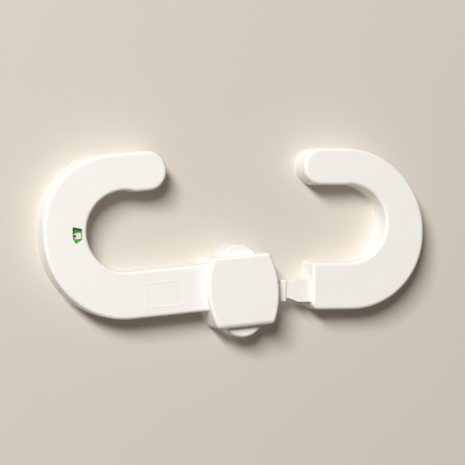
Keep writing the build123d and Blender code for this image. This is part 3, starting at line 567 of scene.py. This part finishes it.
# %% The two padlocks
LOCK_WIDE = 2.45 * MM          # along the radius
LOCK_TALL = 2.3 * MM
LOCK_INWARDS = 0.45 * MM       # the body's middle, from the window's towards the cradle
LOCK_ANGLE = 180.6             # degrees
SQUARENESS = 5.5               # the superellipse's power: 2 is an ellipse, more is squarer
SHACKLE_OUTER = 0.98 * MM
SHACKLE_INNER = 0.5 * MM
SHACKLE_SUNK = 0.05 * MM       # into the body
KEYHOLE = 0.42 * MM            # radius


def superellipse(wide, tall):
    """Cosine and sine raised to 2 over the power, with their signs kept."""
    unit = circle(1, np.linspace(0, 360, 64, endpoint=False))
    return np.sign(unit) * np.abs(unit) ** (2 / SQUARENESS) * [wide / 2, tall / 2]


def padlock(name, degrees, opened):
    """A body, a dot and a half ring at its outer side, which an open one holds to one side."""
    facing = np.radians(degrees)
    spin = np.array([[np.cos(facing), np.sin(facing)], [-np.sin(facing), np.cos(facing)]])
    middle = np.array([(window_inner + window_outer) / 2 - LOCK_INWARDS, 0])
    top = middle + [LOCK_WIDE / 2, 0]
    aside = [0, 1.5 * SHACKLE_OUTER if opened else 0]
    body = (superellipse(LOCK_WIDE, LOCK_TALL) + middle) @ spin
    dot = (circle(KEYHOLE, np.linspace(0, 360, 64, endpoint=False)) + top - [KEYHOLE / 2, 0]) @ spin
    half_turn = np.linspace(-90, 90, 24)
    foot = top - [SHACKLE_SUNK, 0] + aside
    outer, inner = ((circle(r, half_turn) + foot) @ spin for r in (SHACKLE_OUTER, SHACKLE_INNER))
    mark, hole = film_front - INK, film_front - 2 * INK
    return (flat_piece(name + "_body", body, film_front, mark, pale_ink),
            flat_piece(name + "_keyhole", dot, mark, hole, dark_ink),
            carried_section(name + "_shackle", outer, inner, film_front, mark, pale_ink))


locked = padlock("locked_mark", LOCK_ANGLE, opened=False)
unlocked = padlock("unlocked_mark", LOCK_ANGLE + math.degrees(arc_turn), opened=True)
print("marks:", [piece.name for piece in locked + unlocked])

# %% [markdown]
# ## The studio
#
# The lock is shown with its back on one plain pale panel, as it lies against the doors it shuts.
# The panel is stage, not part of the object. Seen from behind it turns clear, so that the backs
# of the hooks can be looked at, and it has the slight gloss of a lacquered door, which mirrors
# the lock's sides faintly.

# %% The panel
def panel_finish(hex_colour):
    """Satin lacquer on the panel's front; from behind, nothing."""
    material, tree, shader = start_material("pale_satin_panel")
    shader.inputs["Base Color"].default_value = linear(hex_colour)
    shader.inputs["Roughness"].default_value = 0.3
    shader.inputs["IOR"].default_value = 1.6
    clear = add(tree, "ShaderNodeBsdfTransparent")
    back = add(tree, "ShaderNodeNewGeometry").outputs["Backfacing"]
    both = add(tree, "ShaderNodeMixShader", {0: back, 1: shader.outputs[0], 2: clear.outputs[0]})
    tree.links.new(both.outputs[0], tree.nodes["Material Output"].inputs["Surface"])
    return material


PANEL_HALF = 1.6               # metres
PANEL_GAP = 0.2 * MM           # keeps the panel clear of the plates
panel_y = back_face + PANEL_GAP
square = [(-PANEL_HALF, panel_y, -PANEL_HALF), (PANEL_HALF, panel_y, -PANEL_HALF)]
square += [(PANEL_HALF, panel_y, PANEL_HALF), (-PANEL_HALF, panel_y, PANEL_HALF)]
panel_mesh = bpy.data.meshes.new("pale_panel")
panel_mesh.from_pydata(square, [], [(0, 1, 2, 3)])
panel_mesh.materials.append(panel_finish("D4CDC3"))
panel = bpy.data.objects.new("pale_panel", panel_mesh)
bpy.context.scene.collection.objects.link(panel)
print("panel faces", tuple(round(c) for c in panel_mesh.polygons[0].normal))

# %% [markdown]
# ## Camera
#
# The doors' own upright is turned 3.7 degrees from the lock's, because the lock hangs slightly
# askew, so directions are written as someone facing the doors would say them and then turned. The
# camera stands 18 degrees to the left and 2 degrees above, and leans by just under a degree.

# %% Directions and the camera
HANG = math.radians(3.7)


def from_doors(x, y, z):
    """A direction told by the doors' upright, turned into the lock's own axes."""
    cosine, sine = math.cos(HANG), math.sin(HANG)
    return np.array([x * cosine + z * sine, y, z * cosine - x * sine])


def camera_axes(left, above, lean):
    """Right, up and ahead: ahead from two angles, right level with the floor, then leaned."""
    left, above, lean = (math.radians(angle) for angle in (left, above, lean))
    ahead = np.array([math.sin(left), math.cos(left), -math.tan(above)]) * math.cos(above)
    level = np.cross(ahead, [0, 0, 1])
    level /= np.linalg.norm(level)
    upright = np.cross(level, ahead)
    right = math.cos(lean) * level - math.sin(lean) * upright
    up = math.sin(lean) * level + math.cos(lean) * upright
    return [from_doors(*axis) for axis in (right, up, ahead)]


DISTANCE = 0.85                # metres
LENS = 172.4                   # millimetres, on a sensor 36 wide
aim = np.array([44.84, 0, -4.91]) * MM      # the point on the doors that the lens looks at
right, up, ahead = camera_axes(18, 2, 0.9)
camera = bpy.data.objects.new("camera", bpy.data.cameras.new("camera"))
camera.data.lens = LENS
camera.data.sensor_width = 36
camera.data.clip_start = 0.05
bpy.context.scene.collection.objects.link(camera)
turn_in = np.eye(4)
turn_in[:3, 0], turn_in[:3, 1], turn_in[:3, 2] = right, up, -ahead
turn_in[:3, 3] = aim - DISTANCE * ahead
camera.matrix_world = Matrix(turn_in.tolist())
bpy.context.scene.camera = camera
print("camera at", np.round(turn_in[:3, 3], 3))

# %% [markdown]
# ## Light
#
# One long strip box at the upper left, its length turned towards the lock's upper left corner,
# gives shadows that fall to the lower right: short and crisp close to an edge, long and soft
# farther out. A warm, weaker room light fills them. Together they light a white surface that
# faces the camera to just about white.

# %% A box lamp, and the one at the upper left
def strip_box(name, direction, long_way, distance, wide, tall, watts, hex_colour):
    """A rectangular area lamp at a distance along a direction, its long sides turned one way."""
    lamp = bpy.data.objects.new(name, bpy.data.lights.new(name, "AREA"))
    lamp.data.shape = "RECTANGLE"
    lamp.data.size, lamp.data.size_y = wide, tall
    lamp.data.energy = watts
    lamp.data.color = linear(hex_colour)[:3]
    away = direction / np.linalg.norm(direction)
    tall_way = long_way - long_way.dot(away) * away
    tall_way /= np.linalg.norm(tall_way)
    place = np.eye(4)
    place[:3, 0], place[:3, 1], place[:3, 2] = np.cross(tall_way, away), tall_way, away
    place[:3, 3] = np.array((cad_box[0] + cad_box[1]) / 2) + away * distance
    bpy.context.scene.collection.objects.link(lamp)
    lamp.matrix_world = Matrix(place.tolist())
    return lamp


upper_left = from_doors(-1, 0, 1)
towards_key = from_doors(-0.6, -1, 0.57)
key = strip_box("key_strip_box", towards_key, upper_left, 2.2, 0.41, 1.05, 57, "FFFFFF")
print(key.name, "stands at", np.round(key.matrix_world.translation, 2))

# %% [markdown]
# Two lamps behind the panel, which doesn't block them, are for anyone who looks at the back. A
# sun lights what faces straight back, without glints that would graze along the side walls into
# view. It is slightly cool, because light goes to and fro between the back plates and the panel
# and warms on the way. A soft box gives the screws' heads, which would otherwise mirror the dark
# side of the panel, something bright to mirror.

# %% Lamps for the back
rear_sun = bpy.data.objects.new("rear_sun", bpy.data.lights.new("rear_sun", "SUN"))
rear_sun.data.energy = 2.0
rear_sun.data.color = linear("F0F5FF")[:3]
rear_sun.data.angle = math.radians(8)
rear_sun.rotation_euler = (-math.pi / 2, 0, 0)
rear_sun.visible_glossy = False
bpy.context.scene.collection.objects.link(rear_sun)

behind, upright = np.array([0.2, 1, 0.35]), np.array([0, 0, 1])
rear_box = strip_box("rear_soft_box", behind, upright, 1.4, 2.2, 1.8, 24, "FFFFFF")
mirrors = bpy.data.collections.new("screws_to_mirror_it")
for screw in screw_sets:
    mirrors.objects.link(screw)
rear_box.light_linking.receiver_collection = mirrors
unblocked = bpy.data.collections.new("lets_rear_light_pass")
unblocked.objects.link(panel)
unblocked.collection_objects[0].light_linking.link_state = "EXCLUDE"
for lamp in (rear_sun, rear_box):
    lamp.light_linking.blocker_collection = unblocked

# %% [markdown]
# The room is a weak warm light from everywhere. Where it is seen, straight on or in a mirror
# such as a screw's head, a pale backdrop stands in for it, which doesn't light anything.

# %% Room light and backdrop
world = bpy.data.worlds.new("room")
world.use_nodes = True
tree = world.node_tree
room = tree.nodes["Background"]
room.inputs["Color"].default_value = linear("FFD8A8")
room.inputs["Strength"].default_value = 0.075
sky = add(tree, "ShaderNodeBackground", {"Color": linear("E9E4DC"), "Strength": 1.0})
path = add(tree, "ShaderNodeLightPath").outputs
in_metal_or_glass = {0: path["Is Glossy Ray"], 1: path["Is Transmission Ray"]}
mirrored = add(tree, "ShaderNodeMath", in_metal_or_glass, operation="ADD")
in_any_way = {0: path["Is Camera Ray"], 1: mirrored.outputs[0]}
seen = add(tree, "ShaderNodeMath", in_any_way, operation="ADD")
either = add(tree, "ShaderNodeMixShader", {0: seen.outputs[0], 1: room.outputs[0], 2: sky.outputs[0]})
tree.links.new(either.outputs[0], tree.nodes["World Output"].inputs["Surface"])
bpy.context.scene.world = world
bpy.context.scene.view_settings.view_transform = "Standard"
print("room light", round(room.inputs["Strength"].default_value, 3))
